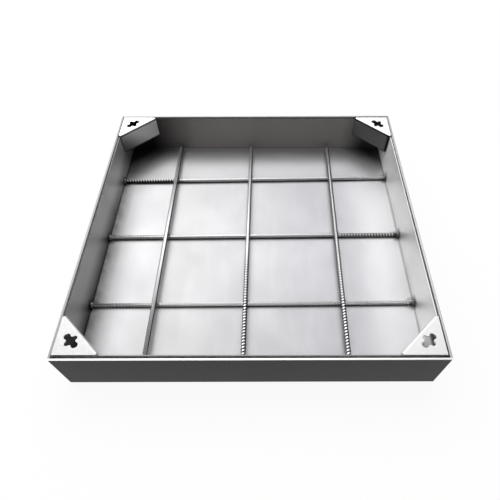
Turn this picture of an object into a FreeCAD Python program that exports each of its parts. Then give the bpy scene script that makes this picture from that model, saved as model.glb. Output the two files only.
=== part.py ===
"""Recessed paving cover: a stainless steel tray that takes paving, resting loose in a square frame.

The frame is four mitred lengths of angle with the ledge at the bottom.  The tray is one folded sheet.
Four folded corner gussets, each with a lifting key slot, lie on its walls, and two layers of ribbed bar
lie on its floor.  Millimetres, +Z up, origin at the middle of the frame's underside.
"""
import FreeCAD, Part
import math
import os

import Sketcher
from FreeCAD import Placement, Rotation, Vector

# Driving sizes in millimetres, and angles in degrees
SIZES = {
    # Frame: angle section, standing leg outside and ledge inside
    "frame_side": 600,
    "frame_height": 85,
    "frame_wall": 3.5,
    "ledge_width": 30,
    "root_round": 3,
    "rim_round": 0.5,
    "corner_round": 3,
    # Tray: one folded sheet, and the room round it in the frame
    "tray_sheet": 1.5,
    "tray_bend": 2,
    "side_clearance": 1.3,
    "end_clearance": 3.75,
    "tray_set_back": 1.5,
    "tray_set_left": 0.5,
    "tray_turn": -0.1,
    "seam_gap": 0.5,
    # Corner gussets: folded plate on the tray's walls, with a skirt inside them
    "gusset_sheet": 3,
    "gusset_leg": 70,
    "gusset_bend": 1,
    "skirt_drop": 41,
    "skirt_gap": 0.3,
    # Lifting key slot: two long lobes, two short lobes and the hollows between them
    "slot_inset": 23.5,
    "long_lobe_reach": 10,
    "long_lobe_radius": 5,
    "short_lobe_reach": 6.5,
    "short_lobe_radius": 3.5,
    "slot_hollow": 3,
    # Reinforcing bars: plain core, and two lengthwise ribs that reach a little further
    "bar_core_diameter": 7.2,
    "bar_rib_diameter": 8.2,
    "bar_rib_width": 1.2,
    "long_bar_end_gap": 9,
    # Where each bar was laid, and how far out of square
    "cross_bar_front_place": -155.5,
    "cross_bar_middle_place": 7,
    "cross_bar_back_place": 175,
    "cross_bar_front_turn": 0.55,
    "cross_bar_middle_turn": 0.78,
    "cross_bar_back_turn": 1.15,
    "long_bar_left_place": -177,
    "long_bar_middle_place": -12.6,
    "long_bar_right_place": 164.8,
    "long_bar_left_turn": -0.2,
    "long_bar_middle_turn": -0.33,
    "long_bar_right_turn": -0.6,
    # Welds
    "end_weld_radius": 5.3,
    "end_weld_length": 4.5,
    "end_weld_unfilled": 2.5,
    "crossing_weld_radius": 2.5,
    "crossing_weld_offset": 3,
    "seam_weld_radius": 2.5,
    "gusset_weld_length": 22,
    "gusset_weld_start": 12,
    "frame_weld_radius": 1.5,
    "frame_weld_stop": 5,
}


class Size:
    """A value with the sheet formula that gives it, so what is drawn and what is bound come from one line."""

    def __init__(self, value, text):
        self.value = value
        self.text = text

    def combine(self, other, sign, result):
        return Size(result, f"({self.text} {sign} {as_size(other).text})")

    def __add__(self, other):
        return self.combine(other, "+", self.value + as_size(other).value)

    def __sub__(self, other):
        return self.combine(other, "-", self.value - as_size(other).value)

    def __mul__(self, other):
        return self.combine(other, "*", self.value * as_size(other).value)

    def __truediv__(self, other):
        return self.combine(other, "/", self.value / as_size(other).value)

    def __neg__(self):
        return Size(-self.value, f"(0 - {self.text})")


def as_size(number):
    return number if isinstance(number, Size) else Size(number, repr(number))


def size(alias):
    return Size(SIZES[alias], "Sizes." + alias)


def tangent(angle):
    return Size(math.tan(math.radians(angle.value)), f"tan({angle.text})")


def root(amount):
    return Size(math.sqrt(amount.value), f"sqrt({amount.text})")


ZERO = Size(0.0, "0")
ROOT_TWO = root(Size(2.0, "2"))
QUARTER = Size(90.0, "90")
# How far a cutting outline runs past the steel that it cuts
CUT_SPARE = Size(10.0, "10")


def make_sheet(doc):
    sheet = doc.addObject("Spreadsheet::Sheet", "Sizes")
    for row, (alias, number) in enumerate(SIZES.items(), start=1):
        sheet.set(f"A{row}", alias)
        sheet.set(f"B{row}", str(number))
        sheet.setAlias(f"B{row}", alias)
    doc.recompute()


# Sketch and feature helpers

def new_body(doc, label):
    body = doc.addObject("PartDesign::Body", label)
    body.Label = label
    return body


def new_sketch(body, name, role, height=None):
    """A sketch on one of the body's own origin planes, raised by height where one is given."""
    plane = [feature for feature in body.Origin.OriginFeatures if feature.Role == role][0]
    sketch = body.newObject("Sketcher::SketchObject", name)
    sketch.AttachmentSupport = [(plane, "")]
    sketch.MapMode = "FlatFace"
    if height is not None:
        sketch.AttachmentOffset = Placement(Vector(0, 0, height.value), Rotation())
        sketch.setExpression(".AttachmentOffset.Base.z", height.text)
    return sketch


def bind(sketch, kind, *where, amount):
    """Add one dimension and tie it to the sheet."""
    index = sketch.addConstraint(Sketcher.Constraint(kind, *where, amount.value))
    sketch.setExpression(f"Constraints[{index}]", amount.text)


def arc_between(start, end, radius, turn):
    """The short arc from start to end, turning left for turn = 1 and right for turn = -1."""
    chord = end - start
    middle = (start + end) * 0.5
    left = Vector(-chord.y, chord.x, 0).normalize()
    rise = math.sqrt(max(radius**2 - (chord.Length / 2) ** 2, 0))
    centre = middle + left * (turn * rise)
    circle = Part.Circle(centre, Vector(0, 0, 1), radius)
    first, last = (start, end) if turn > 0 else (end, start)
    angles = [math.atan2(point.y - centre.y, point.x - centre.x) for point in (first, last)]
    return Part.ArcOfCircle(circle, *angles)


def draw_outline(sketch, steps):
    """Draw a closed outline, each step (x, y) a straight run or (x, y, radius, turn) an arc to that point."""
    points = [Vector(step[0].value, step[1].value, 0) for step in steps]
    ends = []
    for number, step in enumerate(steps):
        start, end = points[number - 1], points[number]
        if len(step) == 2:
            edge = sketch.addGeometry(Part.LineSegment(start, end), False)
            ends.append((edge, 1, 2))
        else:
            edge = sketch.addGeometry(arc_between(start, end, step[2].value, step[3]), False)
            ends.append((edge, 1, 2) if step[3] > 0 else (edge, 2, 1))
    for number, step in enumerate(steps):
        edge, _, finish = ends[number]
        after, begin, _ = ends[(number + 1) % len(steps)]
        sketch.addConstraint(Sketcher.Constraint("Coincident", edge, finish, after, begin))
        bind(sketch, "DistanceX", edge, finish, amount=step[0])
        bind(sketch, "DistanceY", edge, finish, amount=step[1])
        if len(step) == 4:
            bind(sketch, "Radius", edge, amount=step[2])


def pad(body, sketch, name, length, midplane=False):
    feature = body.newObject("PartDesign::Pad", name)
    feature.Profile = sketch
    feature.Midplane = midplane
    feature.Length = length.value
    feature.setExpression("Length", length.text)
    sketch.Visibility = False
    body.Document.recompute()
    return feature


def place(thing, x=ZERO, y=ZERO, z=ZERO, axis="0; 0; 1", turn=ZERO, on=None):
    """Tie a piece's place and turn to the sheet, and to the piece that carries it where one is given."""
    where = f"placement(vector({x.text}; {y.text}; {z.text}); rotation(vector({axis}); {turn.text}))"
    thing.setExpression("Placement", where if on is None else f"{on.Name}.Placement * {where}")


def cut_through(body, sketch, name):
    """Cut the sketch through the body both ways, and check that material went."""
    before = body.Shape.Volume
    feature = body.newObject("PartDesign::Pocket", name)
    feature.Profile = sketch
    feature.Type = "ThroughAll"
    feature.Midplane = True
    sketch.Visibility = False
    body.Document.recompute()
    if not body.Shape.Volume < before:
        raise RuntimeError(f"{body.Label}: {name} cut nothing")
    return feature


# Frame

def make_frame_length(doc, label, turn):
    """One mitred length of angle, drawn as the front one and turned to its own side."""
    half = size("frame_side") / 2
    wall = size("frame_wall")
    ledge = size("ledge_width")
    height = size("frame_height")
    root = size("root_round")
    rim = size("rim_round")
    body = new_body(doc, label)
    section = new_sketch(body, label + "_section", "YZ_Plane")
    draw_outline(section, [
        (-half, ZERO),
        (ledge - half, ZERO),
        (ledge - half, wall),
        (wall + root - half, wall),
        (wall - half, wall + root, root, -1),
        (wall - half, height - rim),
        (wall - half - rim, height, rim, 1),
        (rim - half, height),
        (-half, height - rim, rim, 1),
    ])
    pad(body, section, label + "_angle", size("frame_side"), midplane=True)
    for side in (-1, 1):
        mitre = new_sketch(body, f"{label}_mitre_{'left' if side < 0 else 'right'}", "XY_Plane")
        draw_mitre(mitre, side)
        cut_through(body, mitre, mitre.Name + "_cut")
    place(body, turn=as_size(turn))
    return body


def draw_mitre(sketch, side):
    """Outline of what the mitre and the ground outer corner take off one end."""
    half = size("frame_side") / 2
    rounding = size("corner_round")
    inside = size("ledge_width") + CUT_SPARE
    outside = half + CUT_SPARE
    corner = half - rounding + rounding / ROOT_TWO
    steps = [
        (half - rounding, -half),
        (corner, -corner, rounding, side),
        (half - inside, inside - half),
        (outside, inside - half),
        (outside, -outside),
        (half - rounding, -outside),
    ]
    draw_outline(sketch, [(step[0] if side > 0 else -step[0], *step[1:]) for step in steps])


# Tray

def tray_half_width():
    return size("frame_side") / 2 - size("frame_wall") - size("side_clearance")


def tray_half_depth():
    return size("frame_side") / 2 - size("frame_wall") - size("end_clearance")


def tray_inside():
    """Half the width and half the depth between the tray's walls."""
    return tray_half_width() - size("tray_sheet"), tray_half_depth() - size("tray_sheet")


def tray_height():
    """The walls stop a gusset's thickness below the rim, so that the gussets lie flush with it."""
    return size("frame_height") - size("frame_wall") - size("gusset_sheet")


def fold_section(half_width):
    """Section across two opposite walls and the floor between them."""
    sheet = size("tray_sheet")
    inner = size("tray_bend")
    outer = inner + sheet
    height = tray_height()
    return [
        (-half_width, outer),
        (outer - half_width, ZERO, outer, 1),
        (half_width - outer, ZERO),
        (half_width, outer, outer, 1),
        (half_width, height),
        (half_width - sheet, height),
        (half_width - sheet, outer),
        (half_width - outer, sheet, inner, -1),
        (outer - half_width, sheet),
        (sheet - half_width, outer, inner, -1),
        (sheet - half_width, height),
        (-half_width, height),
    ]


def make_tray(doc):
    """Floor and walls folded from one sheet: the side walls run to the corners, the end walls butt them."""
    sheet = size("tray_sheet")
    outer = size("tray_bend") + sheet
    half_width = tray_half_width()
    half_depth = tray_half_depth()
    body = new_body(doc, "tray")
    across = new_sketch(body, "tray_section_across", "XZ_Plane")
    draw_outline(across, fold_section(half_width))
    pad(body, across, "tray_side_walls", (half_depth - outer) * 2, midplane=True)
    along = new_sketch(body, "tray_section_along", "YZ_Plane")
    draw_outline(along, fold_section(half_depth))
    pad(body, along, "tray_end_walls", (half_width - outer) * 2, midplane=True)
    tabs = new_sketch(body, "tray_wall_ends", "XY_Plane", outer)
    butt = half_width - sheet - size("seam_gap")
    for side in (-1, 1):
        for end in (-1, 1):
            draw_tab(tabs, half_width - sheet, half_width, half_depth - outer, half_depth, side, end)
            draw_tab(tabs, half_width - outer, butt, half_depth - sheet, half_depth, side, end)
    pad(body, tabs, "tray_corners", tray_height() - outer)
    # The tray lies loose on the ledge, a little back and left in the frame and a little out of square
    set_left = size("tray_set_left")
    place(body, -set_left, size("tray_set_back"), size("frame_wall"), turn=size("tray_turn"))
    return body


def draw_tab(sketch, near_x, far_x, near_y, far_y, side, end):
    """The stretch of wall beyond a bend's end, in the corner that side and end name."""
    low_x, high_x = (near_x, far_x) if side > 0 else (-far_x, -near_x)
    low_y, high_y = (near_y, far_y) if end > 0 else (-far_y, -near_y)
    draw_outline(sketch, [(low_x, low_y), (high_x, low_y), (high_x, high_y), (low_x, high_y)])


# Corner gussets

def make_gusset(doc, tray, label, side, end):
    """Plate folded along its long edge.  Drawn with the tray's corner at the origin and +Y into the tray."""
    sheet = size("gusset_sheet")
    inner = size("gusset_bend")
    outer = inner + sheet
    depth = size("gusset_leg") / ROOT_TWO
    bend_line = depth - outer
    body = new_body(doc, label)
    plate = new_sketch(body, label + "_plate_outline", "XY_Plane")
    draw_outline(plate, [(ZERO, ZERO), (bend_line, bend_line), (-bend_line, bend_line)])
    pad(body, plate, label + "_plate", sheet)
    profile = new_sketch(body, label + "_skirt_section", "YZ_Plane")
    foot = sheet - size("skirt_drop")
    draw_outline(profile, [
        (bend_line, ZERO),
        (bend_line + inner, -inner, inner, -1),
        (bend_line + inner, foot),
        (depth, foot),
        (depth, -inner),
        (bend_line, sheet, outer, 1),
    ])
    inside_wall = depth - sheet - (size("tray_sheet") + size("skirt_gap")) * ROOT_TWO
    pad(body, profile, label + "_skirt", inside_wall * 2, midplane=True)
    slot = new_sketch(body, label + "_slot_outline", "XY_Plane")
    draw_key_slot(slot)
    cut_through(body, slot, label + "_slot")
    inward = as_size(math.degrees(math.atan2(side, -end)))
    place(body, tray_half_width() * side, tray_half_depth() * end, tray_height(), turn=inward, on=tray)
    return body


def hollow_centre():
    """Where a hollow's arc stands from the slot's middle, touching a long lobe and a short lobe."""
    far = SIZES["long_lobe_reach"]
    up = SIZES["short_lobe_reach"]
    from_long = SIZES["long_lobe_radius"] + SIZES["slot_hollow"]
    from_short = SIZES["short_lobe_radius"] + SIZES["slot_hollow"]
    span = math.hypot(far, up)
    along = (from_long**2 - from_short**2 + span**2) / (2 * span)
    out = math.sqrt(from_long**2 - along**2)
    return Vector(far - (along * far - out * up) / span, (along * up + out * far) / span, 0)


def heading(start, end):
    """The angle at which end is seen from start, in radians."""
    return math.atan2(end.y - start.y, end.x - start.x)


def draw_key_slot(sketch):
    """Four lobes joined by hollow arcs, every joint tangent, with the long lobes along the folded edge."""
    middle_y = size("slot_inset") * ROOT_TWO
    long_reach = size("long_lobe_reach")
    short_reach = size("short_lobe_reach")
    hollow = hollow_centre()
    # Each lobe's centre, radius and facing, and which way the hollow after it lies from the middle
    lobes = [
        (long_reach, middle_y, size("long_lobe_radius"), 0, (1, 1)),
        (ZERO, middle_y + short_reach, size("short_lobe_radius"), 90, (-1, 1)),
        (-long_reach, middle_y, size("long_lobe_radius"), 180, (-1, -1)),
        (ZERO, middle_y - short_reach, size("short_lobe_radius"), 270, (1, -1)),
    ]
    centres = [Vector(x.value, y.value, 0) for x, y, *_ in lobes]
    edges = []
    for number, (x, y, radius, facing, way) in enumerate(lobes):
        centre = centres[number]
        turning = Vector(hollow.x * way[0], middle_y.value + hollow.y * way[1], 0)
        ahead = math.radians(facing)
        spread = abs(math.remainder(heading(centre, turning) - ahead, math.tau))
        arcs = [
            (centre, radius, ahead - spread, ahead + spread),
            (turning, size("slot_hollow"), heading(turning, centres[(number + 1) % 4]), heading(turning, centre)),
        ]
        for at, arc_radius, begin, finish in arcs:
            circle = Part.Circle(at, Vector(0, 0, 1), arc_radius.value)
            edges.append(sketch.addGeometry(Part.ArcOfCircle(circle, begin, finish), False))
            bind(sketch, "Radius", edges[-1], amount=arc_radius)
        bind(sketch, "DistanceX", edges[-2], 3, amount=x)
        bind(sketch, "DistanceY", edges[-2], 3, amount=y)
    for number in range(0, len(edges), 2):
        lobe, hollow_edge, next_lobe = edges[number], edges[number + 1], edges[(number + 2) % len(edges)]
        sketch.addConstraint(Sketcher.Constraint("Tangent", lobe, 2, hollow_edge, 2))
        sketch.addConstraint(Sketcher.Constraint("Tangent", hollow_edge, 1, next_lobe, 1))


# Reinforcing bars

def make_bar(doc, label, length):
    """A bar drawn along X with its two lengthwise ribs."""
    core = size("bar_core_diameter") / 2
    reach = size("bar_rib_diameter") / 2
    rib = size("bar_rib_width") / 2
    rib_foot = root(core * core - rib * rib)
    rib_top = root(reach * reach - rib * rib)
    body = new_body(doc, label)
    section = new_sketch(body, label + "_section", "YZ_Plane")
    draw_outline(section, [
        (rib_top, -rib),
        (rib_top, rib, reach, 1),
        (rib_foot, rib),
        (-rib_foot, rib, core, 1),
        (-rib_top, rib),
        (-rib_top, -rib, reach, 1),
        (-rib_foot, -rib),
        (rib_foot, -rib, core, 1),
    ])
    pad(body, section, label + "_length", length, midplane=True)
    return body


def cross_bar_height():
    """Axis of the bars that lie on the floor, above the tray's underside."""
    return size("tray_sheet") + size("bar_core_diameter") / 2


def long_bar_height():
    """Axis of the bars that lie across them."""
    return cross_bar_height() + size("bar_core_diameter")


CROSS_BARS = ("front", "middle", "back")
LONG_BARS = ("left", "middle", "right")


def cross_bar_reach():
    """Half its length: it stops where the tray's bend begins."""
    return tray_inside()[0] - size("tray_bend")


def long_bar_reach():
    """Half its length: it stops short of the tray's walls."""
    return tray_inside()[1] - size("long_bar_end_gap")


def make_bars(doc, tray):
    """The bars that lie on the floor, and the bars that lie on those."""
    cross_bars = []
    for name in CROSS_BARS:
        bar = make_bar(doc, "cross_bar_" + name, cross_bar_reach() * 2)
        turn = size(f"cross_bar_{name}_turn")
        place(bar, y=size(f"cross_bar_{name}_place"), z=cross_bar_height(), turn=turn, on=tray)
        cross_bars.append(bar)
    long_bars = []
    for name in LONG_BARS:
        bar = make_bar(doc, "long_bar_" + name, long_bar_reach() * 2)
        turn = size(f"long_bar_{name}_turn") + QUARTER
        place(bar, x=size(f"long_bar_{name}_place"), z=long_bar_height(), turn=turn, on=tray)
        long_bars.append(bar)
    return cross_bars, long_bars


# Welds

def make_shape(doc, kind, name, **amounts):
    """A rod or a box with each of its sizes tied to the sheet."""
    shape = doc.addObject("Part::" + kind, name)
    for side, amount in amounts.items():
        setattr(shape, side, amount.value)
        shape.setExpression(side, amount.text)
    return shape


def make_space(doc, name, half_width, half_depth, foot, height, on=None):
    """The room inside four walls, which trims the beads that run along them."""
    space = make_shape(doc, "Box", name, Length=half_width * 2, Width=half_depth * 2, Height=height)
    place(space, -half_width, -half_depth, foot, on=on)
    return space


def seat_welds(doc, label, beads, room, *steel):
    """Keep what of the beads lies in the room and outside each group of steel."""
    result = make_group(doc, label + "_beads", beads)
    if room is not None:
        inside = doc.addObject("Part::Common", label + "_inside")
        inside.Base = result
        inside.Tool = room
        result = inside
    for number, pieces in enumerate(steel, start=1):
        trimmed = doc.addObject("Part::Cut", f"{label}_trimmed_{number}")
        trimmed.Base = result
        trimmed.Tool = make_group(doc, f"{label}_steel_{number}", pieces)
        result = trimmed
    result.Label = label
    doc.recompute()
    return result


def make_group(doc, name, pieces):
    group = doc.addObject("Part::Compound", name)
    group.Links = pieces
    return group


def corner_name(side, end):
    return f"{'left' if side < 0 else 'right'}_{'front' if end < 0 else 'back'}"


CORNERS = ((-1, -1), (1, -1), (-1, 1), (1, 1))


def make_end_welds(doc, tray, room, cross_bars):
    """A collar round each cross bar's end, against the tray's wall, which doesn't reach far under the bar.

    Each is drawn twice as long, and the half behind the wall's face is trimmed off.
    """
    length = size("end_weld_length")
    reach = cross_bar_reach()
    wall = tray_inside()[0]
    half = size("end_weld_unfilled")
    drop = size("bar_core_diameter") / 2
    beads = []
    unfilled = []
    for bar in cross_bars:
        for end, end_name in ((-1, "left"), (1, "right")):
            name = f"{bar.Label}_bead_{end_name}"
            bead = make_shape(doc, "Cylinder", name, Radius=size("end_weld_radius"), Height=length * 2)
            place(bead, x=(wall + length) * end, axis="0; 1; 0", turn=QUARTER * -end, on=bar)
            beads.append(bead)
        under = make_shape(doc, "Box", bar.Label + "_underside", Length=reach * 2, Width=half * 2, Height=drop)
        place(under, -reach, -half, -drop, on=bar)
        unfilled.append(under)
    return seat_welds(doc, "bar_end_welds", beads, room, [tray] + cross_bars, unfilled)


def crossing_point(cross, along):
    """Where the axes of a cross bar and a long bar pass, seen from above."""
    rise = tangent(size(f"cross_bar_{cross}_turn"))
    drift = -tangent(size(f"long_bar_{along}_turn"))
    at_middle = size(f"cross_bar_{cross}_place")
    x = (size(f"long_bar_{along}_place") + drift * at_middle) / (as_size(1.0) - drift * rise)
    return x, at_middle + rise * x


def make_crossing_welds(doc, tray, bars):
    """A tack in one corner of each crossing: a short post between the two bars' axes."""
    offset = size("crossing_weld_offset")
    foot = cross_bar_height()
    amounts = {"Radius": size("crossing_weld_radius"), "Height": long_bar_height() - foot}
    tacks = []
    for cross in CROSS_BARS:
        for along in LONG_BARS:
            x, y = crossing_point(cross, along)
            tack = make_shape(doc, "Cylinder", f"tack_{cross}_{along}", **amounts)
            place(tack, x + offset, y + offset, foot, on=tray)
            tacks.append(tack)
    return seat_welds(doc, "crossing_welds", tacks, None, bars)


def make_upright_welds(doc, label, half_width, half_depth, foot, length, radius, room, on=None):
    """A bead up each inside corner of four walls."""
    beads = []
    for side, end in CORNERS:
        rod = make_shape(doc, "Cylinder", f"{label}_bead_{corner_name(side, end)}", Radius=radius, Height=length)
        place(rod, half_width * side, half_depth * end, foot, on=on)
        beads.append(rod)
    return seat_welds(doc, label, beads, room)


def make_tray_corner_welds(doc, tray, room):
    """Where the folded walls butt, from the top of the bend to the gusset."""
    inner_x, inner_y = tray_inside()
    foot = size("tray_bend") + size("tray_sheet")
    length = tray_height() - foot
    radius = size("seam_weld_radius")
    return make_upright_welds(doc, "tray_corner_welds", inner_x, inner_y, foot, length, radius, room, tray)


def make_frame_corner_welds(doc):
    """Up the inside of each mitre, from above the ledge's root to below the rim."""
    inner = size("frame_side") / 2 - size("frame_wall")
    foot = size("frame_wall") + size("root_round")
    length = size("frame_height") - size("frame_weld_stop") - foot
    room = make_space(doc, "frame_space", inner, inner, foot, length)
    radius = size("frame_weld_radius")
    return make_upright_welds(doc, "frame_corner_welds", inner, inner, foot, length, radius, room)


def make_gusset_welds(doc, tray, room):
    """Two beads under each gusset, where its plate lies on the walls."""
    inner_x, inner_y = tray_inside()
    begin = size("gusset_weld_start")
    beads = []
    for side, end in CORNERS:
        runs = {
            "side": (ZERO, begin * end, "1; 0; 0", QUARTER * end),
            "end": (begin * side, ZERO, "0; 1; 0", QUARTER * -side),
        }
        for which, (in_x, in_y, axis, turn) in runs.items():
            name = f"gusset_bead_{which}_{corner_name(side, end)}"
            amounts = {"Radius": size("seam_weld_radius"), "Height": size("gusset_weld_length")}
            rod = make_shape(doc, "Cylinder", name, **amounts)
            place(rod, inner_x * side - in_x, inner_y * end - in_y, tray_height(), axis, turn, tray)
            beads.append(rod)
    return seat_welds(doc, "gusset_welds", beads, room)


# Whole cover

def build(doc):
    parts = []
    for label, turn in (("front", 0), ("right", 90), ("back", 180), ("left", 270)):
        parts.append(make_frame_length(doc, "frame_" + label, turn))
    tray = make_tray(doc)
    parts.append(tray)
    for end, end_name in ((-1, "front"), (1, "back")):
        for side, side_name in ((-1, "left"), (1, "right")):
            parts.append(make_gusset(doc, tray, f"corner_gusset_{end_name}_{side_name}", side, end))
    cross_bars, long_bars = make_bars(doc, tray)
    sheet = size("tray_sheet")
    room = make_space(doc, "tray_space", *tray_inside(), sheet, tray_height() - sheet, tray)
    parts += cross_bars + long_bars
    parts.append(make_end_welds(doc, tray, room, cross_bars))
    parts.append(make_crossing_welds(doc, tray, cross_bars + long_bars))
    parts.append(make_tray_corner_welds(doc, tray, room))
    parts.append(make_gusset_welds(doc, tray, room))
    parts.append(make_frame_corner_welds(doc))
    return parts


def check(doc, parts):
    doc.recompute()
    for thing in doc.Objects:
        if "Invalid" in thing.State or "Error" in thing.State:
            raise RuntimeError(f"{thing.Label} did not rebuild: {thing.State}")
    for part in parts:
        if part.Shape.isNull() or not part.Shape.isValid() or not part.Shape.Solids:
            raise RuntimeError(f"{part.Label} is not a valid solid")
        print(f"{part.Label}: {len(part.Shape.Solids)} solids, {part.Shape.Volume:.1f} mm3")


def write(parts):
    os.makedirs("parts", exist_ok=True)
    for part in parts:
        part.Shape.exportStep(os.path.join("parts", part.Label + ".step"))


def main():
    doc = FreeCAD.newDocument("recessed_paving_cover")
    make_sheet(doc)
    parts = build(doc)
    check(doc, parts)
    write(parts)


main()
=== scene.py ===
"""Looks of a recessed paving cover: a folded stainless tray with welded ribbed bars, lying in an angle frame.

Everything is in metres, in the frame of the solids: +Z up, origin at the middle of the frame's underside.
"""

import math
import random
from collections import namedtuple

import bmesh
import bpy
from mathutils import Matrix, Vector


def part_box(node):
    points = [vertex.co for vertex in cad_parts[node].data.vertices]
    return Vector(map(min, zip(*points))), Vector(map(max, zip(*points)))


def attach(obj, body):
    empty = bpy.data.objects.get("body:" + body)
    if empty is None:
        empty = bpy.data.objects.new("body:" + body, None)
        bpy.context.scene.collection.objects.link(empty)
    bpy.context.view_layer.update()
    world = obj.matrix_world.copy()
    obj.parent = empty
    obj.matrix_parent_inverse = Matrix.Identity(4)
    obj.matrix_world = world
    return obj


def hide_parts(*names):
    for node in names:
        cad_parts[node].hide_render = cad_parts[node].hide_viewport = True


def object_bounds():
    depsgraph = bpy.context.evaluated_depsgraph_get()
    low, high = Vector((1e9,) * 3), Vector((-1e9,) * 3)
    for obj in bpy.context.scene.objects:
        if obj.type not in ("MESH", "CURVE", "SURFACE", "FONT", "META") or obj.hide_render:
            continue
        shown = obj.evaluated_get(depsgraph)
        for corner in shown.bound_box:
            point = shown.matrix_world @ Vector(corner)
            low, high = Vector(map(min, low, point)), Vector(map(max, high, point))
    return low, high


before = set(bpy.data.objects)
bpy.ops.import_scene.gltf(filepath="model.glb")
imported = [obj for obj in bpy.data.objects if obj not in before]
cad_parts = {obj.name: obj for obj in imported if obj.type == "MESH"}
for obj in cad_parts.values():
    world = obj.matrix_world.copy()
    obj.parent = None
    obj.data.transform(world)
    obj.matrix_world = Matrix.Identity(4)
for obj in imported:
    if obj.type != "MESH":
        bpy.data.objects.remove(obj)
cad_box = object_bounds()

MM = 0.001
UP = Vector((0, 0, 1))

# Photograph: its side in pixels, and the lens and its centre in it.  These two and the camera's place and
# angles were fitted by another program to edges and corners of the frame and the tray, and rounded.
PHOTO_SIDE = 500
FOCAL_PIXELS = 413.1
PHOTO_CENTRE = (266.9, 297.9)
# Camera: its place, how far it looks down, to the right and rolls, in degrees, and its sensor in millimetres
CAMERA_PLACE = Vector((24.8, -554.0, 645.2)) * MM
CAMERA_DOWN = 57.10
CAMERA_YAW = 0.14
CAMERA_ROLL = -0.01
SENSOR = 36.0

# Frame: how thick its angle section is
ANGLE_WALL = 3.5 * MM

# Tray: its box, its floor, on which the cross bars lie, and the inner faces of its walls, which stand in from
# the box by the sheet's thickness and by what the tray's small turn adds
TRAY_LOW, TRAY_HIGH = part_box("tray")
TRAY_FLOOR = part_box("cross_bar_front")[0].z
LEFT_WALL = TRAY_LOW.x + 2.6 * MM
RIGHT_WALL = TRAY_HIGH.x - 3.2 * MM
FRONT_WALL = TRAY_LOW.y + 2.5 * MM
BACK_WALL = TRAY_HIGH.y - 2 * MM
# How far from a wall its distance is still told apart
FAR = 200 * MM

# Corner plates: the solids' foot and top, and how much longer each pair's legs are drawn, along X and Y
PLATE_FOOT, PLATE_TOP = (corner.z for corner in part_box("corner_gusset_back_left"))
PLATE_STRETCH = {"front": (1.043, 1.043), "back": (1.07, 1.015)}
# The plate near its corner keeps its size, apart from the key slot's short lobes, which are made fuller
PLATE_HELD = 64 * MM
SLOT_INSET = 23.5 * MM
SLOT_HALF_LENGTH = 16 * MM
SLOT_HALF_WIDTH = 11 * MM
LOBE_REACH = 9 * MM
LOBE_WIDENED = 0.2
LOBE_DEEPENED = 1.1

# Ribbed bar: 8 mm nominal, with slanting crescent ribs between two lengthwise seam ribs
BAR_CORE = 3.6 * MM
BAR_SIDES = 20
BAR_END_CHAMFER = 0.4 * MM
# The crescent ribs are drawn a little wider and further apart than real ones so that they show
RIB_PITCH = 5.9 * MM
RIB_HEIGHT = 0.8 * MM
RIB_FOOT = 3.4 * MM
RIB_TOP = 2.2 * MM
RIB_SUNK = 0.3 * MM
RIB_SPREAD = math.radians(150)
RIB_SLANT = 3.2 * MM
RIB_STEPS = 8
SEAM_RIB_WIDTH = 1.2 * MM
SEAM_RIB_REACH = 4.05 * MM
SEAM_RIB_BEVEL = 0.3 * SEAM_RIB_WIDTH

# Each bar: how far it is rolled over, in degrees, which turns its seam ribs; where along it its part dark
# between the ribs begins and where it is full, in millimetres; the colours there between its ribs, partly
# scale and partly painted shade, and on their crests, a painted highlight; and, in millimetres from its axis,
# how far up painted shade reaches low down and how far right a line of painted shade begins
Bar = namedtuple("Bar", "roll begins full between crests scale_top scale_right")
CROSS_BARS = {
    "cross_bar_back": Bar(12, -160, -180, "#2C2C2E", "#FFFFFF", 0.3, None),
    "cross_bar_front": Bar(90, -200, -300, "#E8E8EA", "#F4F4F5", 0.3, None),
    "cross_bar_middle": Bar(50, 160, 180, "#848486", "#FFFFFF", 0.3, None),
}
LONG_BARS = {
    "long_bar_left": Bar(90, 0, -60, "#D0D0D2", "#DADADC", 0.4, 2.1),
    "long_bar_middle": Bar(-8, -20, -80, "#2C2C2E", "#FFFFFF", 0.4, 2.2),
    "long_bar_right": Bar(-12, 240, 200, "#121214", "#FFFFFF", 0.4, 1.4),
}

# Bar end beads: drops laid a step apart round a bar's end, as far down both ways as the reach, and melted
# together.  What is drawn by chance for each drop: its turn in radians, its size as a share, and its lift off
# the bar and its shift along it in millimetres.
BEAD_STEP = 2.6 * MM
BEAD_RADIUS = 2.6 * MM
BEAD_REACH = math.radians(115)
BEAD_GRAIN = 0.55 * MM
BEAD_TURNS = (-0.12, 0.12)
BEAD_SIZES = (0.82, 1.08)
BEAD_LIFTS = (0.0, 0.8)
BEAD_SHIFTS = (-0.6, 0.8)
# Crossing tacks: how far to the back and right of the crossing and how far up their drops lie, and their
# radius, in millimetres
TACK_DROPS = 4
TACK_OUT = (1.5, 4.2)
TACK_UP = (-2.5, 1.5)
TACK_RADII = (1.5, 2.4)
# Spatter: its specks' radius and the drawn share of it, how far beside the bar and in from its end they lie,
# and how many lie at a bar's left and right ends
SPATTER_RADIUS = 0.9 * MM
SPATTER_SIZES = (0.7, 1.2)
SPATTER_BESIDE = (5.5 * MM, 13 * MM)
SPATTER_INWARD = (2.5 * MM, 13 * MM)
SPATTER_LEFT = 3
SPATTER_RIGHT = 7

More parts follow.
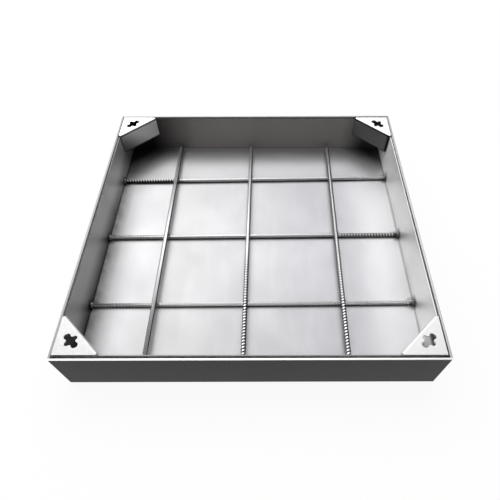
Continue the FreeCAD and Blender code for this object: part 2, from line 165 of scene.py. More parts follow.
# Soft boxes round the cover: bearing from the back towards the right and height, in degrees, and brightness.
# The brightness was fitted to the photograph by another program, and rounded.
LAMP_DISTANCE = 2.6
LAMP_WIDTH = 1.6
LAMP_HEIGHT = 1.33
SOFT_BOXES = [
    (315, 10, 0.30), (270, 10, 0.15),
    (340, 26, 0.27), (320, 26, 0.51), (295, 26, 0.54), (270, 26, 0.26),
    (0, 43, 0.63), (20, 43, 0.63), (45, 48, 0.60),
    (340, 43, 0.78), (320, 43, 0.80), (300, 43, 0.62), (270, 43, 0.21),
    (0, 60, 0.62), (30, 60, 0.55), (60, 60, 0.25),
    (330, 60, 0.68), (300, 60, 0.47), (270, 60, 0.13),
    (0, 75, 0.22), (315, 75, 0.23),
]
ROOM_BRIGHTNESS = 0.2
FLOOR_HALF = 12.0

# Settings of a Map Range node that eases in and out
EASED = {"interpolation_type": "SMOOTHSTEP"}


# Nodes and colours

def linear(hex_colour):
    """The linear colour that shaders mix, from an sRGB hex value."""
    parts = [int(hex_colour[start:start + 2], 16) / 255 for start in (1, 3, 5)]
    return [part / 12.92 if part <= 0.04045 else ((part + 0.055) / 1.055) ** 2.4 for part in parts] + [1.0]


def add(tree, kind, inputs=(), **settings):
    """Add a node with its settings, fill its inputs in order or by name, and give its first output."""
    node = tree.nodes.new("ShaderNode" + kind)
    for name, value in settings.items():
        setattr(node, name, value)
    if isinstance(inputs, dict):
        filled = [(node.inputs[name], value) for name, value in inputs.items()]
    else:
        filled = zip([socket for socket in node.inputs if socket.enabled], inputs)
    for socket, value in filled:
        if isinstance(value, bpy.types.NodeSocket):
            tree.links.new(value, socket)
        else:
            socket.default_value = value
    return next((socket for socket in node.outputs if socket.enabled), None)


def new_material(name):
    """An empty material, its tree, and the piece's own coordinates there."""
    material = bpy.data.materials.new(name)
    material.use_nodes = True
    tree = material.node_tree
    tree.nodes.clear()
    return material, tree, add(tree, "TexCoord").node.outputs["Object"]


def patches(tree, where, lengths, detail, roughness=0.5):
    """Noise whose patches are as long as lengths gives, in millimetres along X, Y and Z."""
    scale = [1 / (length * MM) for length in lengths]
    scaled = add(tree, "Mapping", {"Vector": where, "Scale": scale})
    return add(tree, "TexNoise", {"Vector": scaled, "Scale": 1.0, "Detail": detail, "Roughness": roughness})


def combined(tree, operation, first, *others):
    """One mask from several, by a Math operation such as MAXIMUM."""
    for other in others:
        first = add(tree, "Math", [first, other], operation=operation)
    return first


def coated(tree, base, *coats):
    """A base colour with others laid over it in turn, each as far as its mask says."""
    colour = linear(base) if isinstance(base, str) else base
    for mask, coat in coats:
        coat = linear(coat) if isinstance(coat, str) else coat
        colour = add(tree, "Mix", [mask, colour, coat], data_type="RGBA")
    return colour


def steel_surface(tree, colour, roughness, height, strength, depth=0.1 * MM):
    """Bare steel of that colour and roughness, its skin raised by the height pattern."""
    bump = add(tree, "Bump", {"Strength": strength, "Distance": depth, "Height": height})
    steel = add(tree, "BsdfPrincipled", {
        "Base Color": colour, "Metallic": 1.0, "Roughness": roughness, "Normal": bump})
    add(tree, "OutputMaterial", [steel])


# Tray's sheet

def wall_masks(tree, x, y, z):
    """Masks of the tray's left, right and front walls, and of all that stands over its floor."""
    edge = 0.5 * MM
    return {
        "left": add(tree, "MapRange", [x, LEFT_WALL, LEFT_WALL + edge, 1.0, 0.0]),
        "right": add(tree, "MapRange", [x, RIGHT_WALL, RIGHT_WALL + edge, 0.0, 1.0]),
        "front": add(tree, "MapRange", [y, FRONT_WALL, FRONT_WALL + edge, 1.0, 0.0]),
        "any": add(tree, "MapRange", [z, TRAY_FLOOR + 0.3 * MM, TRAY_FLOOR + 0.8 * MM, 0.0, 1.0]),
    }


def wall_distances(tree, x, y):
    """How far each wall is, up to FAR."""
    return {
        "left": add(tree, "MapRange", [x, LEFT_WALL, LEFT_WALL + FAR, 0.0, FAR]),
        "right": add(tree, "MapRange", [x, RIGHT_WALL - FAR, RIGHT_WALL, FAR, 0.0]),
        "front": add(tree, "MapRange", [y, TRAY_LOW.y, TRAY_LOW.y + FAR, 0.0, FAR]),
        "back": add(tree, "MapRange", [y, BACK_WALL - FAR, BACK_WALL, FAR, 0.0]),
    }


def floor_colour(tree, where, x, y, clouds):
    """The floor's steel: cloudy, wiped in broad pale streaks, and paler toward the side and back walls beyond
    the outer bars.
    """
    to_right = add(tree, "MapRange", [x, -120 * MM, 120 * MM, 0.0, 1.0])
    cloudy = add(tree, "MapRange", [clouds, 0.3, 0.7, 0.1, 0.0])
    wipes = patches(tree, where, (26, 140, 40), 4.0, 0.65)
    wiped = add(tree, "MapRange", [wipes, 0.5, 0.75, 0.0, 0.16])
    near_left = add(tree, "MapRange", [x, -250 * MM, -170 * MM, 0.4, 0.0], **EASED)
    near_right = add(tree, "MapRange", [x, 170 * MM, 250 * MM, 0.0, 0.65], **EASED)
    near_back = add(tree, "MapRange", [y, 170 * MM, 235 * MM, 0.0, 0.75], **EASED)
    scoured = combined(tree, "MAXIMUM", near_left, near_right, near_back)
    return coated(
        tree, "#C4C4C5", (to_right, "#BBBABE"), (cloudy, "#A8A8AA"), (wiped, "#DEDEE0"), (scoured, "#E4E4E6"))


def wall_colour(tree, y, on):
    """The walls' colours, with painted light and shade: the back wall warm grey and painted darker, the left
    wall painted darker and paler toward the back, the right wall painted bright as lit and paler toward both
    ends, and the front wall painted near white where it shows in the shaded gap.
    """
    along = add(tree, "Math", [y], operation="ABSOLUTE")
    toward_ends = add(tree, "MapRange", [along, 80 * MM, 220 * MM, 0.0, 1.0])
    toward_back = add(tree, "MapRange", [y, 60 * MM, 240 * MM, 0.0, 1.0])
    left = coated(tree, "#B6B6B6", (toward_back, "#F6F6F6"))
    right = coated(tree, "#E2E2E0", (toward_ends, "#FBFBFA"))
    return coated(tree, "#B5B0AE", (on["left"], left), (on["right"], right), (on["front"], "#F8F8F8"))


def left_wall_grime(tree, where, x, y, z, on):
    """How bright the left wall and the floor beside it are painted: painted shade darkens the wall low down
    and toward the front, and the floor in a mottled band beside it.
    """
    up = add(tree, "MapRange", [z, TRAY_FLOOR, TRAY_FLOOR + 48 * MM, 0.3, 1.0], **EASED)
    back = add(tree, "MapRange", [y, -100 * MM, 250 * MM, 0.0, 0.8])
    elsewhere = add(tree, "MapRange", [on["left"], 0.0, 1.0, 1.0, 0.0])
    wall = combined(tree, "MAXIMUM", up, back, elsewhere)
    mottle = add(tree, "MapRange", [patches(tree, where, (16, 22, 16), 4.0, 0.6), 0.35, 0.65, 0.45, 0.75])
    floor = add(tree, "MapRange", [x, LEFT_WALL, LEFT_WALL + 28 * MM, mottle, 1.0])
    return [wall, combined(tree, "MAXIMUM", floor, on["any"])]


def corner_grime(tree, z, on, away):
    """How bright each corner under its gusset is painted: painted shade darkens it, but leaves the side walls
    bare at the back corners and the front wall at the front ones.
    """
    # Painted shade high on the right wall under the front right gusset, where its slot looks in
    soot = add(tree, "MapRange", [z, 36 * MM, 47 * MM, 0.62, 0.02])
    # Each corner: its walls, how far out its painted shade begins to thin and ends, and how bright it is
    # inside that
    corners = (
        ("left", "back", 50 * MM, 150 * MM, 0.1),
        ("right", "back", 40 * MM, 92 * MM, 0.2),
        ("left", "front", 55 * MM, 72 * MM, 0.1),
        ("right", "front", 55 * MM, 72 * MM, soot),
    )
    side_walls = combined(tree, "MAXIMUM", on["left"], on["right"])
    cleanness = []
    for side, end, thins, ends, inside in corners:
        out = combined(tree, "ADD", away[side], away[end])
        corner = add(tree, "MapRange", [out, thins, ends, inside, 1.0])
        kept_clean = side_walls if end == "back" else on["front"]
        cleanness.append(combined(tree, "MAXIMUM", corner, kept_clean))
    return cleanness


def fold_grime(tree, z, away):
    """How bright the floor is along its folds, where painted shade lies in thin dark lines."""
    off_floor = add(tree, "MapRange", [z, TRAY_FLOOR + MM, TRAY_FLOOR + 2.5 * MM, 0.0, 1.0])
    cleanness = []
    for wall, inside in (("left", 0.35), ("back", 0.6), ("right", 0.6)):
        line = add(tree, "MapRange", [away[wall], 0.8 * MM, 2.2 * MM, inside, 1.0])
        cleanness.append(combined(tree, "MAXIMUM", line, off_floor))
    return cleanness


def dull_cut_edge(tree, y, z, on):
    """How bright the walls' cut edge is: painted shade darkens it on the left and back walls, and less on the
    front one.
    """
    edge = add(tree, "MapRange", [z, TRAY_HIGH.z - 0.4 * MM, TRAY_HIGH.z - 0.1 * MM, 1.0, 0.35])
    at_back = add(tree, "MapRange", [y, 280 * MM, 285 * MM, 0.0, 1.0])
    at_front = add(tree, "MapRange", [y, -285 * MM, -280 * MM, 0.6, 0.0])
    dull = combined(tree, "MAXIMUM", on["left"], at_back, at_front)
    elsewhere = add(tree, "MapRange", [dull, 0.0, 1.0, 1.0, 0.0])
    return combined(tree, "MAXIMUM", edge, elsewhere)


def heat_tint(tree, where):
    """How bright the sheet is round each welded end of the cross bars, where a dark halo is painted, partly
    heat tint and partly painted shade.
    """
    brightness = []
    for name in CROSS_BARS:
        for tip in bar_ends(name):
            away = add(tree, "VectorMath", [where, tip], operation="DISTANCE")
            brightness.append(add(tree, "MapRange", [away, 6 * MM, 18 * MM, 0.45, 1.0], **EASED))
    return brightness


def folded_sheet(name):
    """Cold-rolled stainless sheet, folded: satin with cloudy smudges, with painted light and shade on its
    walls, and painted shade in its folds and corners, on its cut edge and round the bar ends.
    """
    material, tree, where = new_material(name)
    x, y, z = add(tree, "SeparateXYZ", [where]).node.outputs
    on = wall_masks(tree, x, y, z)
    away = wall_distances(tree, x, y)
    clouds = patches(tree, where, (90, 90, 90), 4.0, 0.55)
    bare_steel = coated(tree, floor_colour(tree, where, x, y, clouds), (on["any"], wall_colour(tree, y, on)))
    # Painted shade: each factor below darkens the sheet toward near black where it falls below one
    brightness = [
        *left_wall_grime(tree, where, x, y, z, on),
        *corner_grime(tree, z, on, away),
        *fold_grime(tree, z, away),
        dull_cut_edge(tree, y, z, on),
        *heat_tint(tree, where),
    ]
    colour = coated(tree, "#060606", (combined(tree, "MULTIPLY", *brightness), bare_steel))
    # The right wall is duller toward the back, where the gusset's welding scaled it
    toward_back = add(tree, "MapRange", [y, 120 * MM, 240 * MM, 0.0, 0.35])
    duller = combined(tree, "MULTIPLY", on["right"], toward_back)
    satin = add(tree, "MapRange", [clouds, 0.3, 0.7, 0.54, 0.47])
    # Real rolling lines are some 0.05 mm apart, so they are drawn 1.5 mm apart to show
    lines = patches(tree, where, (120, 1.5, 1.5), 2.0)
    steel_surface(tree, colour, combined(tree, "ADD", satin, duller), lines, 0.08)
    return material


# Other finishes

def cut_plate(name):
    """Laser-cut stainless plate, folded: pale and matt on top and faintly speckled, with painted light on the
    tops of all but the front left plate and painted shade on the back plates' skirts and in dark lines at
    their fold and cut edges.
    """
    material, tree, where = new_material(name)
    x, y, z = add(tree, "SeparateXYZ", [where]).node.outputs
    to_back = add(tree, "MapRange", [y, -200 * MM, 200 * MM, 0.0, 1.0])
    to_right = add(tree, "MapRange", [x, -200 * MM, 200 * MM, 0.0, 1.0])
    speckle = patches(tree, where, (3.5, 3.5, 3.5), 3.0, 0.6)
    speckled = add(tree, "MapRange", [speckle, 0.3, 0.7, 0.0, 1.0])
    # All but the front left plate are painted paler on top, as painted light
    off_front_left = combined(tree, "MAXIMUM", to_back, to_right)
    top = coated(tree, "#DADADB", (speckled, "#E4E4E5"), (off_front_left, "#FCFCFC"))

    # Skirts of the back plates, painted grey as shade: the right one grey, and the left one painted pale at
    # its lower outer end as painted light
    lean = add(tree, "Math", [z, 0.8, x], operation="MULTIPLY_ADD")
    wiped = add(tree, "MapRange", [lean, -250 * MM, -195 * MM, 0.0, 1.0], **EASED)
    on_right = add(tree, "MapRange", [x, -100 * MM, 100 * MM, 0.0, 1.0])
    skirt = coated(tree, "#747475", (wiped, "#FCFCFD"), (on_right, "#808081"))
    below_top = add(tree, "MapRange", [z, PLATE_TOP - 1.2 * MM, PLATE_TOP - 0.6 * MM, 1.0, 0.0])
    on_skirt = combined(tree, "MULTIPLY", below_top, to_back)

    # Painted shade lies in dark lines in the fold, along the cut foot and where the skirt meets the right
    # wall
    below_fold = add(tree, "MapRange", [z, PLATE_TOP - 4.5 * MM, PLATE_TOP - 3 * MM, 0.0, 0.8])
    cut_foot = add(tree, "MapRange", [z, PLATE_FOOT + 0.8 * MM, PLATE_FOOT + 2.4 * MM, 0.7, 0.0])
    cut_end = add(tree, "MapRange", [x, RIGHT_WALL - 5 * MM, RIGHT_WALL - 3 * MM, 0.0, 0.85])
    in_fold = combined(tree, "MULTIPLY", below_fold, on_skirt)
    at_cut = combined(tree, "MULTIPLY", combined(tree, "MAXIMUM", cut_foot, cut_end), on_skirt)
    colour = coated(tree, top, (on_skirt, skirt), (in_fold, "#0C0C0C"), (at_cut, "#0C0C0C"))
    matt = add(tree, "MapRange", [speckle, 0.3, 0.7, 0.58, 0.53])
    steel_surface(tree, colour, matt, speckle, 0.05)
    return material


def pickled_angle(name):
    """Hot-rolled stainless angle with painted light and shade: its outside painted dark as shade and darker
    along its edges, its ground rim painted lighter and darker side by side, and its inside painted near
    white.
    """
    material, tree, where = new_material(name)
    x, y, z = add(tree, "SeparateXYZ", [where]).node.outputs
    half, top = cad_box[1].x, cad_box[1].z
    across = add(tree, "Math", [x], operation="ABSOLUTE")
    along = add(tree, "Math", [y], operation="ABSOLUTE")
    blur = 0.2 * MM

    # Outside, its pickled colour is painted shade: dark, with random stained patches, and darker along its
    # edges
    stained = patches(tree, where, (35, 35, 12), 4.0, 0.6)
    near_rim = add(tree, "MapRange", [z, top - 4 * MM, top - 1.5 * MM, 0.0, 0.85])
    near_foot = add(tree, "MapRange", [z, 1.5 * MM, 3.5 * MM, 0.85, 0.0])
    near_corner = add(tree, "MapRange", [across, half - 4.5 * MM, half - 2 * MM, 0.0, 0.85])
    near_edge = combined(tree, "MAXIMUM", near_rim, near_foot, near_corner)
    pickled = coated(tree, "#2F2E2F", (stained, "#363536"), (near_edge, "#0E0E0E"))
    inner = half - ANGLE_WALL + blur
    outside = add(tree, "MapRange", [combined(tree, "MAXIMUM", across, along), inner, inner + blur, 0.0, 1.0])

    # The ground rim is painted brightest in front and darkest on the left, as painted light and shade
    on_rim = add(tree, "MapRange", [z, top - 0.6 * MM, top - 0.4 * MM, 0.0, 1.0])
    on_front = add(tree, "MapRange", [y, -inner, -inner + blur, 1.0, 0.0])
    on_left = add(tree, "MapRange", [x, -inner, -inner + blur, 1.0, 0.0])
    rim = coated(tree, "#B8B8B9", (on_left, "#8C8C8D"), (on_front, "#F4F4F4"))
    # Inside it is painted near white, as painted light in the shaded gap round the tray
    colour = coated(tree, "#F6F6F6", (outside, pickled), (on_rim, rim))
    rough = add(tree, "MapRange", [on_rim, 0.0, 1.0, 0.5, 0.32])
    # Real pickled grit is some 0.2 mm across, so it is drawn coarser to show, here and on the bars
    grit = patches(tree, where, (0.9, 0.9, 0.9), 2.0)
    steel_surface(tree, colour, rough, grit, 0.1)
    return material


def ribbed_bar_steel(name, bar):
    """Hot-rolled ribbed bar, pickled: pale and a little patchy, and in places dark between its ribs, partly
    scale and partly painted shade, with painted highlights on their crests, and painted shade low down and
    along its right side.
    """
    material, tree, where = new_material("pickled_" + name)
    x, y, z = add(tree, "SeparateXYZ", [where]).node.outputs
    start, end = bar_ends(name)
    way = (end - start).normalized()
    stained = patches(tree, where, (8, 8, 4), 4.0, 0.6)

    # Part of it is dark between the ribs, partly scale and partly painted shade, and its crests are painted
    # white as a painted highlight
    from_start = add(tree, "VectorMath", [where, start], operation="SUBTRACT")
    turned = add(tree, "VectorMath", [from_start, way], operation="CROSS_PRODUCT")
    off_axis = add(tree, "VectorMath", [turned], operation="LENGTH")
    on_crest = add(tree, "MapRange", [off_axis, BAR_CORE + 0.3 * MM, BAR_CORE + 0.55 * MM, 0.0, 1.0])
    off_front = add(tree, "MapRange", [y, -280 * MM, -140 * MM, 0.0, 1.0])
    scaled = coated(tree, "#8A8A8C", (off_front, bar.between), (on_crest, bar.crests))
    along = x if name in CROSS_BARS else y
    in_scaled = add(tree, "MapRange", [along, bar.begins * MM, bar.full * MM, 0.0, 1.0])
    colour = coated(tree, "#DCDCDE", (stained, "#F4F4F5"), (in_scaled, scaled))

    # A line of painted shade runs along the bar's right side, beyond a set distance from its axis
    if bar.scale_right:
        right = way.cross(UP)
        line = start.dot(right) + bar.scale_right * MM
        across = add(tree, "VectorMath", [where, right], operation="DOT_PRODUCT")
        beside = add(tree, "MapRange", [across, line, line + 1.3 * MM, 0.0, 0.92], **EASED)
        colour = coated(tree, colour, (beside, "#101010"))
    # Painted shade darkens it low down, where the bar lies on the floor or on the bars that it crosses
    scale_top = start.z + bar.scale_top * MM
    low_down = add(tree, "MapRange", [z, scale_top - 2.4 * MM, scale_top, 0.92, 0.0], **EASED)
    colour = coated(tree, colour, (low_down, "#101010"))
    grit = patches(tree, where, (0.6, 0.6, 0.6), 2.0)
    steel_surface(tree, colour, 0.29, grit, 0.2)
    return material


def weld_metal(name):
    """Stainless weld bead as laid: rippled, and grey with a faint warm heat tint."""
    material, tree, where = new_material(name)
    tint = patches(tree, where, (5, 5, 5), 3.0, 0.6)
    ripples = patches(tree, where, (1.4, 1.4, 1.4), 3.0)
    steel_surface(tree, coated(tree, "#5C5B59", (tint, "#BAB8B5")), 0.42, ripples, 0.5, 0.3 * MM)
    return material


def bright_bead(name):
    """Weld spatter: small drops of stainless that cooled bright and glossy."""
    material, tree, where = new_material(name)
    tint = patches(tree, where, (3, 3, 3), 2.0)
    steel_surface(tree, coated(tree, "#D8D8D8", (tint, "#FAFAFA")), 0.3, tint, 0.1)
    return material


def painted_floor(name):
    """Painted studio floor: white to the eye and in the steel, and it still takes the cover's shadow."""
    material, tree, _ = new_material(name)
    ray = add(tree, "LightPath").node.outputs
    shown = combined(tree, "MAXIMUM", ray["Is Camera Ray"], ray["Is Glossy Ray"], ray["Is Transmission Ray"])
    paint = add(tree, "BsdfDiffuse", [linear("#E6E6E6")])
    dim_paint = add(tree, "BsdfDiffuse", [linear("#585858")])
    glow = add(tree, "Emission", [linear("#FFFFFF"), 0.93])
    white = add(tree, "AddShader", [dim_paint, glow])
    add(tree, "OutputMaterial", [add(tree, "MixShader", [shown, paint, white])])
    return material


# Pieces

def mesh_object(name, shape, material):
    """Turn a bmesh into an object of the scene."""
    mesh = bpy.data.meshes.new(name)
    shape.to_mesh(mesh)
    shape.free()
    mesh.materials.append(material)
    made = bpy.data.objects.new(name, mesh)
    bpy.context.scene.collection.objects.link(made)
    return made


def new_piece(name, shape, material, slot, *nodes):
    """Turn a bmesh into a piece of the cover that stands for some nodes, if any, and hides them; its slot is
    not used.
    """
    piece = mesh_object(name, shape, material)
    if nodes:
        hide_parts(*nodes)
    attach(piece, "root")
    return piece


def bar_ends(name):
    """The two ends of a bar's axis, from the middle of each of its end faces."""
    low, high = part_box(name)
    along = 0 if high.x - low.x > high.y - low.y else 1
    corners = [vertex.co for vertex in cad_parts[name].data.vertices]
    ends = []
    for limit in (low, high):
        face = [corner for corner in corners if abs(corner[along] - limit[along]) < MM]
        places = [[corner[axis] for corner in face] for axis in range(3)]
        ends.append(Vector([(min(place) + max(place)) / 2 for place in places]))
    return ends


def along_axis(start, end):
    """The turn and move that lay a shape drawn along X, from its middle, between two points."""
    way = (end - start).normalized()
    side = UP.cross(way).normalized()
    turn = Matrix((way, side, way.cross(side))).transposed().to_4x4()
    return Matrix.Translation((start + end) / 2) @ turn


def crescent_rib():
    """One slanting rib over the top of a bar along X: a low ridge spun round the bar, sunk at both ends."""
    shape = bmesh.new()
    foot = BAR_CORE - RIB_SUNK
    crown = BAR_CORE + RIB_HEIGHT
    profile = [(-RIB_FOOT / 2, foot), (-RIB_TOP / 2, crown), (RIB_TOP / 2, crown), (RIB_FOOT / 2, foot)]
    corners = [shape.verts.new((x, 0, z)) for x, z in profile]
    face = shape.faces.new(corners)
    begin = Matrix.Rotation(-RIB_SPREAD / 2, 3, "X")
    bmesh.ops.rotate(shape, verts=corners, cent=(0, 0, 0), matrix=begin)
    bmesh.ops.translate(shape, verts=corners, vec=(-RIB_SLANT / 2, 0, 0))
    bmesh.ops.spin(
        shape, geom=[face, *face.edges, *face.verts], cent=(0, 0, 0), axis=(1, 0, 0),
        angle=RIB_SPREAD, steps=RIB_STEPS, dvec=(RIB_SLANT / RIB_STEPS, 0, 0), use_duplicate=False)
    # The ridge rises out of the bar at one end and sinks back at the other
    for vertex in shape.verts:
        radius = math.hypot(vertex.co.y, vertex.co.z)
        if radius > foot + RIB_SUNK / 2:
            angle = math.atan2(vertex.co.y, vertex.co.z)
            lift = math.cos(math.pi * angle / RIB_SPREAD) ** 0.5 if abs(angle) < RIB_SPREAD / 2 else 0.0
            target = foot + (crown - foot) * lift
            vertex.co.y *= target / radius
            vertex.co.z *= target / radius
    bmesh.ops.recalc_face_normals(shape, faces=shape.faces)
    mesh = bpy.data.meshes.new("crescent_rib")
    shape.to_mesh(mesh)
    shape.free()
    return mesh


def add_seam_rib(shape, length, side):
    """A lengthwise rib on one side of a bar, with its outer edges bevelled."""
    place = Matrix.Translation((0, side * SEAM_RIB_REACH / 2, 0))
    size = Matrix.Diagonal((length - MM, SEAM_RIB_REACH, SEAM_RIB_WIDTH, 1))
    bmesh.ops.create_cube(shape, size=1.0, matrix=place @ size)
    past_core = (BAR_CORE + SEAM_RIB_REACH) / 2
    outer = [edge for edge in shape.edges if all(vertex.co.y * side > past_core for vertex in edge.verts)]
    bmesh.ops.bevel(
        shape, geom=outer, offset=SEAM_RIB_BEVEL, affect="EDGES", segments=1, profile=0.5, material=-1)


def ribbed_bar(name, bar, rib, draw):
    """Round core, two lengthwise seam ribs, and a row of crisp crescent ribs above and below."""
    start, end = bar_ends(name)
    length = (end - start).length
    shape = bmesh.new()
    bmesh.ops.create_cone(
        shape, cap_ends=True, segments=BAR_SIDES, radius1=BAR_CORE, radius2=BAR_CORE, depth=length,
        matrix=Matrix.Rotation(math.radians(90), 4, "Y"))
    rims = [edge for edge in shape.edges if abs(edge.verts[0].co.x - edge.verts[1].co.x) < MM]
    bmesh.ops.bevel(
        shape, geom=rims, offset=BAR_END_CHAMFER, affect="EDGES", segments=1, profile=0.5, material=-1)
    for side in (-1, 1):
        add_seam_rib(shape, length, side)
    for face in shape.faces:
        face.smooth = True
    phase = draw.random()
    count = int((length - RIB_SLANT - RIB_FOOT) / RIB_PITCH)
    for row in (0, 1):
        half_turn = Matrix.Rotation(math.pi * row, 4, "X")
        for number in range(count):
            x = (number + 0.5 * row + phase * 0.4 - count / 2) * RIB_PITCH
            copy = rib.copy()
            copy.transform(Matrix.Translation((x, 0, 0)) @ half_turn)
            shape.from_mesh(copy)
            bpy.data.meshes.remove(copy)
    roll = Matrix.Rotation(math.radians(bar.roll), 4, "X")
    bmesh.ops.transform(shape, matrix=along_axis(start, end) @ roll, verts=shape.verts)
    new_piece("ribbed_" + name, shape, ribbed_bar_steel(name, bar), "bar_steel", name)


def key_plate(name, material):
    """A corner gusset with legs a little longer than its solid's and fuller short lobes in its key slot."""
    low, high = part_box(name)
    stretch_x, stretch_y = PLATE_STRETCH["front" if high.y < 0 else "back"]
    corner_x = low.x if high.x < 0 else high.x
    corner_y = low.y if high.y < 0 else high.y
    shape = bmesh.new()
    shape.from_mesh(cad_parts[name].data)
    bmesh.ops.remove_doubles(shape, verts=shape.verts, dist=0.01 * MM)
    root_two = math.sqrt(2)
    for vertex in shape.verts:
        out_x, out_y = vertex.co.x - corner_x, vertex.co.y - corner_y
        if abs(out_x) + abs(out_y) > PLATE_HELD:
            vertex.co.x = corner_x + out_x * stretch_x
            vertex.co.y = corner_y + out_y * stretch_y
            continue
        # Along and across the slot, from its middle
        along = (abs(out_x) - abs(out_y)) / root_two
        across = (abs(out_x) + abs(out_y)) / root_two - SLOT_INSET * root_two
        if abs(along) < SLOT_HALF_LENGTH and abs(across) < SLOT_HALF_WIDTH:
            along *= 1 + LOBE_WIDENED * max(0.0, 1 - abs(along) / LOBE_REACH)
            across = across * LOBE_DEEPENED + SLOT_INSET * root_two
            vertex.co.x = corner_x + math.copysign((across + along) / root_two, out_x)
            vertex.co.y = corner_y + math.copysign((across - along) / root_two, out_y)
    piece = new_piece(name.replace("corner_gusset", "key_plate"), shape, material, "gusset_steel", name)
    piece.data.shade_flat()


def add_drop(shape, place, radius):
    """A round drop of weld metal."""
    matrix = Matrix.Translation(place) @ Matrix.Diagonal((radius, radius, radius, 1))
    bmesh.ops.create_icosphere(shape, subdivisions=2, radius=1.0, matrix=matrix)


def melt_together(piece):
    """Melt a piece's overlapping drops into one skin."""
    melt = piece.modifiers.new("melt", "REMESH")
    melt.mode = "VOXEL"
    melt.voxel_size = BEAD_GRAIN
    melt.use_smooth_shade = True
    settle = piece.modifiers.new("settle", "SMOOTH")
    settle.factor = 0.5
    settle.iterations = 2
    scene_state = bpy.context.evaluated_depsgraph_get()
    melted = bpy.data.meshes.new_from_object(piece.evaluated_get(scene_state))
    piece.modifiers.clear()
    piece.data = melted


def bar_end_beads(material, draw):
    """A lumpy bead laid round each end of the cross bars, from the floor over the bar and down again."""
    shape = bmesh.new()
    steps = int(2 * BEAD_REACH * (BAR_CORE + MM) / BEAD_STEP)
    for name in CROSS_BARS:
        start, end = bar_ends(name)
        for tip, other in ((start, end), (end, start)):
            way = (tip - other).normalized()
            side = UP.cross(way).normalized()
            for step in range(steps + 1):
                angle = -BEAD_REACH + 2 * BEAD_REACH * step / steps + draw.uniform(*BEAD_TURNS)
                out = side * math.sin(angle) + UP * math.cos(angle)
                radius = BEAD_RADIUS * draw.uniform(*BEAD_SIZES)
                place = tip + out * (BAR_CORE + draw.uniform(*BEAD_LIFTS) * MM)
                place -= way * draw.uniform(*BEAD_SHIFTS) * MM
                place.z = max(place.z, TRAY_FLOOR + radius - MM)
                add_drop(shape, place, radius)
    melt_together(new_piece("bar_end_beads", shape, material, "weld_metal", "bar_end_welds"))


def crossing_beads(material, draw):
    """A tack of a few drops in the back right corner of each crossing."""
    shape = bmesh.new()
    for cross in CROSS_BARS:
        for along in LONG_BARS:
            (left, right), (front, back) = bar_ends(cross), bar_ends(along)
            # How far along each bar, as a share of it, the other one crosses
            share = (front.x - left.x) / (right.x - left.x)
            depth = (left.y + (right.y - left.y) * share - front.y) / (back.y - front.y)
            x = front.x + (back.x - front.x) * depth
            y = left.y + (right.y - left.y) * share
            crossing = Vector((x, y, (left.z + front.z) / 2))
            for _ in range(TACK_DROPS):
                offset = Vector([draw.uniform(*span) for span in (TACK_OUT, TACK_OUT, TACK_UP)])
                add_drop(shape, crossing + offset * MM, draw.uniform(*TACK_RADII) * MM)
    melt_together(new_piece("crossing_beads", shape, material, "weld_metal", "crossing_welds"))


def weld_spatter(material, draw):
    """Bright specks round the welds at the cross bars' right ends, and a few at their left ends."""
    shape = bmesh.new()
    for name in CROSS_BARS:
        left, right = bar_ends(name)
        for tip, inward, count in ((left, 1, SPATTER_LEFT), (right, -1, SPATTER_RIGHT)):
            for _ in range(count):
                across = draw.uniform(*SPATTER_BESIDE) * draw.choice((-1, 1))
                radius = SPATTER_RADIUS * draw.uniform(*SPATTER_SIZES)
                x = tip.x + inward * draw.uniform(*SPATTER_INWARD)
                add_drop(shape, Vector((x, tip.y + across, TRAY_FLOOR + radius * 0.3)), radius)
    piece = new_piece("weld_spatter", shape, material, "weld_metal")
    piece.data.shade_smooth()


# Studio

def make_camera():
    """A camera where the photograph's was, with its lens off the picture's middle as there."""
    camera = bpy.data.objects.new("camera", bpy.data.cameras.new("camera"))
    bpy.context.scene.collection.objects.link(camera)
    camera.location = CAMERA_PLACE
    look = Matrix.Rotation(math.radians(-CAMERA_YAW), 4, "Z")
    look @= Matrix.Rotation(math.radians(90 - CAMERA_DOWN), 4, "X")
    look @= Matrix.Rotation(math.radians(CAMERA_ROLL), 4, "Z")
    camera.rotation_euler = look.to_euler()
    camera.data.sensor_width = SENSOR
    camera.data.lens = FOCAL_PIXELS / PHOTO_SIDE * SENSOR
    middle = (PHOTO_SIDE - 1) / 2
    camera.data.shift_x = (middle - PHOTO_CENTRE[0]) / PHOTO_SIDE
    camera.data.shift_y = (PHOTO_CENTRE[1] - middle) / PHOTO_SIDE
    camera.data.clip_start = 0.01
    bpy.context.scene.camera = camera


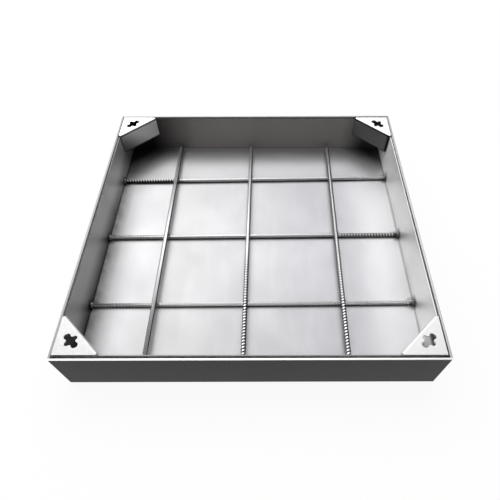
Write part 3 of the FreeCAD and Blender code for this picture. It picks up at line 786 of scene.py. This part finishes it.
def soft_box(bearing, height, brightness):
    """A lamp on that bearing and height, aimed at the cover; brightness is how bright its face looks."""
    name = f"soft_box_{bearing}_{height}"
    lamp = bpy.data.lights.new(name, "AREA")
    lamp.shape = "RECTANGLE"
    lamp.size = LAMP_WIDTH
    lamp.size_y = LAMP_HEIGHT
    lamp.energy = brightness * math.pi * LAMP_WIDTH * LAMP_HEIGHT
    holder = bpy.data.objects.new(name, lamp)
    bpy.context.scene.collection.objects.link(holder)
    turn, lift = math.radians(bearing), math.radians(height)
    toward = Vector((math.sin(turn) * math.cos(lift), math.cos(turn) * math.cos(lift), math.sin(lift)))
    holder.location = toward * LAMP_DISTANCE
    holder.rotation_euler = toward.to_track_quat("Z", "Y").to_euler()
    holder.visible_camera = False


def make_room():
    """A world that is dim round the steel and white only where the camera looks past the floor."""
    world = bpy.data.worlds.new("studio")
    bpy.context.scene.world = world
    world.use_nodes = True
    tree = world.node_tree
    looked_at = add(tree, "LightPath").node.outputs["Is Camera Ray"]
    brightness = add(tree, "MapRange", [looked_at, 0.0, 1.0, ROOM_BRIGHTNESS, 1.0])
    background = tree.nodes["Background"]
    background.inputs["Color"].default_value = linear("#FFFFFF")
    tree.links.new(brightness, background.inputs["Strength"])


def make_studio():
    """A painted floor, the room round it, and the soft boxes."""
    shape = bmesh.new()
    bmesh.ops.create_grid(shape, x_segments=1, y_segments=1, size=FLOOR_HALF)
    mesh_object("studio_floor", shape, painted_floor("painted_floor"))
    make_room()
    for bearing, height, brightness in SOFT_BOXES:
        soft_box(bearing, height, brightness)


def dress(material, *names):
    """Give some of the solids that stay their finish."""
    for name in names:
        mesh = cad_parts[name].data
        mesh.materials.clear()
        mesh.materials.append(material)


def main():
    bpy.context.scene.view_settings.view_transform = "Standard"
    draw = random.Random(8)
    weld = weld_metal("tinted_weld_metal")
    plate = cut_plate("cold_rolled_plate")
    dress(pickled_angle("pickled_angle"), "frame_front", "frame_right", "frame_back", "frame_left")
    dress(folded_sheet("cold_rolled_sheet"), "tray")
    dress(weld, "frame_corner_welds", "tray_corner_welds", "gusset_welds")
    rib = crescent_rib()
    for name, bar in [*CROSS_BARS.items(), *LONG_BARS.items()]:
        ribbed_bar(name, bar, rib, draw)
    for name in sorted(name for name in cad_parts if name.startswith("corner_gusset")):
        key_plate(name, plate)
    bar_end_beads(weld, draw)
    crossing_beads(weld, draw)
    weld_spatter(bright_bead("bright_spatter"), draw)
    make_studio()
    make_camera()


main()
